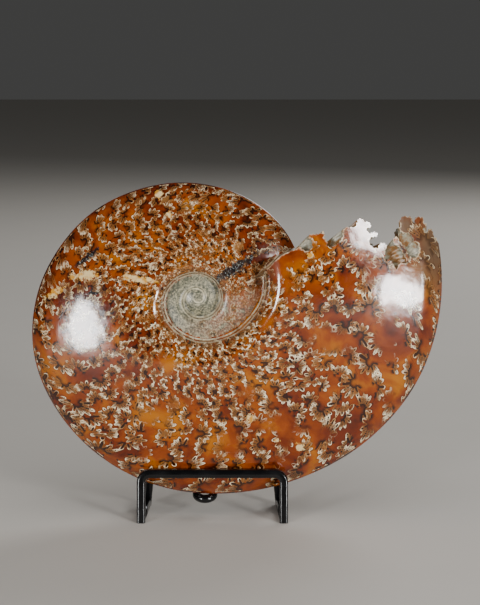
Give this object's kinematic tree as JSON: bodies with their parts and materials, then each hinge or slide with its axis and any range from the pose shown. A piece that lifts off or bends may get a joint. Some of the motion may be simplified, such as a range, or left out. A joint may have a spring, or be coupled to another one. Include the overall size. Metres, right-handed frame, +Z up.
{
  "type": "polished ammonite fossil on a stand",
  "caption": "Polished coiled ammonite with a sunken umbilicus and a frilled broken end, standing on edge in a small black metal display stand.",
  "frame": {"origin": "on the table, under the middle of the object's box", "axes": "+X to the right along the fossil's width, towards its broken end; +Y back through its thickness, away from the flank that faces the viewer; +Z up"},
  "size_m": [0.1598, 0.0408, 0.1299],
  "materials": {
    "amber_fossil": "polished orange-brown calcite with cream suture lines, and pearly grey-green in the umbilicus",
    "black_paint": "gloss black"
  },
  "bodies": {
    "root": {"ammonite": "amber_fossil", "front_hoop": "black_paint", "rear_hoop": "black_paint", "left_rail": "black_paint", "right_rail": "black_paint", "keel_hook": "black_paint"}
  },
  "joints": []
}
